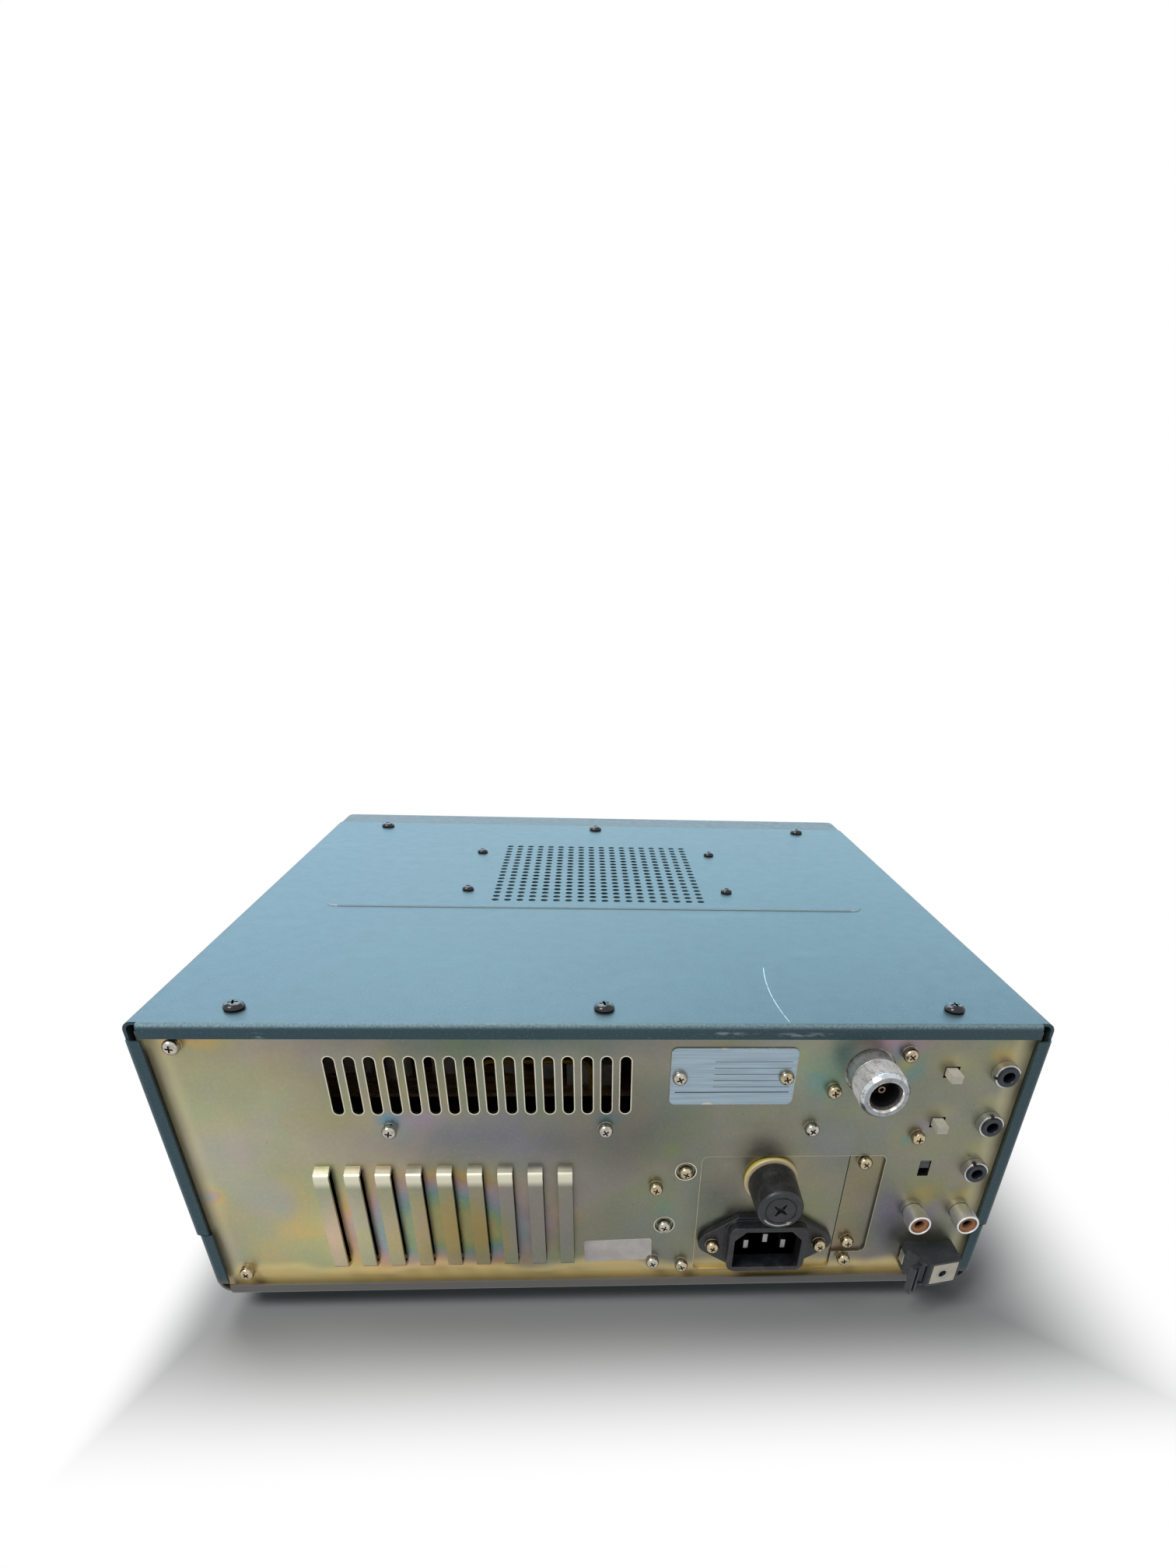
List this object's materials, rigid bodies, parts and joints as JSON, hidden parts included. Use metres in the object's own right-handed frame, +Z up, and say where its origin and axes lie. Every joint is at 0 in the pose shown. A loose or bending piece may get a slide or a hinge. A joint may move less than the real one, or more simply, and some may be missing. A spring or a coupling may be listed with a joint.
{
  "type": "communications receiver",
  "caption": "Desk-top communications receiver in a folded steel case, with a top loudspeaker grille, a rear panel of antenna, jack, phono, wire and mains sockets, and front tuning controls.",
  "frame": {"origin": "on the table under the middle of the overall box", "axes": "+Z up, the controls face -Y, the sockets face +Y"},
  "size_m": [0.286, 0.3128, 0.1224],
  "materials": {
    "case_paint": "satin",
    "zinc_plate": "satin",
    "pale_zinc": "satin",
    "nickel": "gloss",
    "plate_metal": "satin",
    "black_screw": "gloss",
    "gold": "satin",
    "black_plastic": "satin",
    "dark_plastic": "matte",
    "front_plastic": "matte",
    "beige_plastic": "satin",
    "cream_plastic": "satin",
    "orange_plastic": "satin",
    "grey_plastic": "matte",
    "foot_rubber": "matte",
    "fuse_glass": "gloss",
    "window_glass": "gloss",
    "core_steel": "matte",
    "coil_wrap": "satin",
    "sink_metal": "matte",
    "brown_board": "satin",
    "green_board": "satin",
    "white_plastic": "matte",
    "cone_paper": "matte",
    "yellow_wire": "satin",
    "needle_paint": "matte",
    "meter_plastic": "matte"
  },
  "bodies": {
    "case": {"top_cover": "case_paint", "bottom_cover": "case_paint", "rear_panel": "zinc_plate", "power_plate": "zinc_plate", "option_strip": "zinc_plate", "left_frame": "zinc_plate", "right_frame": "zinc_plate", "front_chassis": "pale_zinc", "chassis_deck": "pale_zinc", "shield_box": "pale_zinc", "rear_screws": "pale_zinc", "speaker_basket": "pale_zinc", "antenna_socket": "nickel", "jack_rings": "nickel", "phono_shells": "nickel", "terminal_clip": "nickel", "inlet_pins": "nickel", "rating_plate": "plate_metal", "cover_screws": "black_screw", "antenna_contact": "gold", "jack_sockets": "black_plastic", "terminal_body": "black_plastic", "mains_inlet": "black_plastic", "push_switches": "dark_plastic", "slide_switch": "dark_plastic", "control_bodies": "dark_plastic", "phones_jack": "dark_plastic", "display_module": "dark_plastic", "front_bezel": "front_plastic", "front_panel": "front_plastic", "terminal_insert": "beige_plastic", "fuse_holder": "cream_plastic", "phono_insulators": "orange_plastic", "rubber_feet": "foot_rubber", "fuse_link": "fuse_glass", "front_windows": "window_glass", "transformer_core": "core_steel", "transformer_winding": "coil_wrap", "heat_sink": "sink_metal", "upper_board": "brown_board", "lower_board": "green_board", "front_board": "green_board", "board_parts": "white_plastic", "speaker_cone": "cone_paper", "signal_lead": "yellow_wire", "meter_case": "meter_plastic"},
    "upper_push_button": {"upper_push_button": "beige_plastic"},
    "lower_push_button": {"lower_push_button": "beige_plastic"},
    "slide_knob": {"slide_knob": "dark_plastic"},
    "terminal_lever": {"terminal_lever": "black_plastic"},
    "fuse_cap": {"fuse_cap": "black_plastic"},
    "tuning_knob": {"tuning_knob": "dark_plastic"},
    "gain_knob": {"gain_knob": "dark_plastic"},
    "squelch_knob": {"squelch_knob": "dark_plastic"},
    "meter_needle": {"meter_needle": "needle_paint"},
    "power_button": {"power_button": "grey_plastic"},
    "mode_key_1": {"mode_key_1": "grey_plastic"},
    "mode_key_2": {"mode_key_2": "grey_plastic"},
    "mode_key_3": {"mode_key_3": "grey_plastic"},
    "mode_key_4": {"mode_key_4": "grey_plastic"}
  },
  "joints": [
    {"name": "upper_push", "type": "slide", "parent": "case", "child": "upper_push_button", "axis": [0, -1, 0], "range_m": [0, 0.003], "stiffness_N_per_m": 250},
    {"name": "lower_push", "type": "slide", "parent": "case", "child": "lower_push_button", "axis": [0, -1, 0], "range_m": [0, 0.003], "stiffness_N_per_m": 250},
    {"name": "slide_switch_move", "type": "slide", "parent": "case", "child": "slide_knob", "axis": [0, 0, -1], "range_m": [0, 0.003]},
    {"name": "terminal_press", "type": "hinge", "parent": "case", "child": "terminal_lever", "pos_m": [-0.118, 0.1499, 0.024], "axis": [0, 0, -1], "range_deg": [0, 18], "stiffness_Nm_per_rad": 0.05},
    {"name": "fuse_cap_turn", "type": "hinge", "parent": "case", "child": "fuse_cap", "pos_m": [-0.0592, 0.1391, 0.0589], "axis": [0, 1, 0], "range_deg": [0, 60]},
    {"name": "tuning_turn", "type": "hinge", "parent": "case", "child": "tuning_knob", "pos_m": [0.098, -0.1344, 0.056], "axis": [0, -1, 0], "continuous": true},
    {"name": "gain_turn", "type": "hinge", "parent": "case", "child": "gain_knob", "pos_m": [-0.116, -0.1344, 0.035], "axis": [0, -1, 0], "range_deg": [-150, 150]},
    {"name": "squelch_turn", "type": "hinge", "parent": "case", "child": "squelch_knob", "pos_m": [-0.084, -0.1344, 0.035], "axis": [0, -1, 0], "range_deg": [-150, 150]},
    {"name": "meter_swing", "type": "hinge", "parent": "case", "child": "meter_needle", "pos_m": [-0.107, -0.1184, 0.084], "axis": [0, 1, 0], "range_deg": [0, 80], "stiffness_Nm_per_rad": 0.0005},
    {"name": "power_press", "type": "slide", "parent": "case", "child": "power_button", "axis": [0, 1, 0], "range_m": [0, 0.0028], "stiffness_N_per_m": 300},
    {"name": "mode_1_press", "type": "slide", "parent": "case", "child": "mode_key_1", "axis": [0, 1, 0], "range_m": [0, 0.0012], "stiffness_N_per_m": 400},
    {"name": "mode_2_press", "type": "slide", "parent": "case", "child": "mode_key_2", "axis": [0, 1, 0], "range_m": [0, 0.0012], "stiffness_N_per_m": 400},
    {"name": "mode_3_press", "type": "slide", "parent": "case", "child": "mode_key_3", "axis": [0, 1, 0], "range_m": [0, 0.0012], "stiffness_N_per_m": 400},
    {"name": "mode_4_press", "type": "slide", "parent": "case", "child": "mode_key_4", "axis": [0, 1, 0], "range_m": [0, 0.0012], "stiffness_N_per_m": 400}
  ]
}
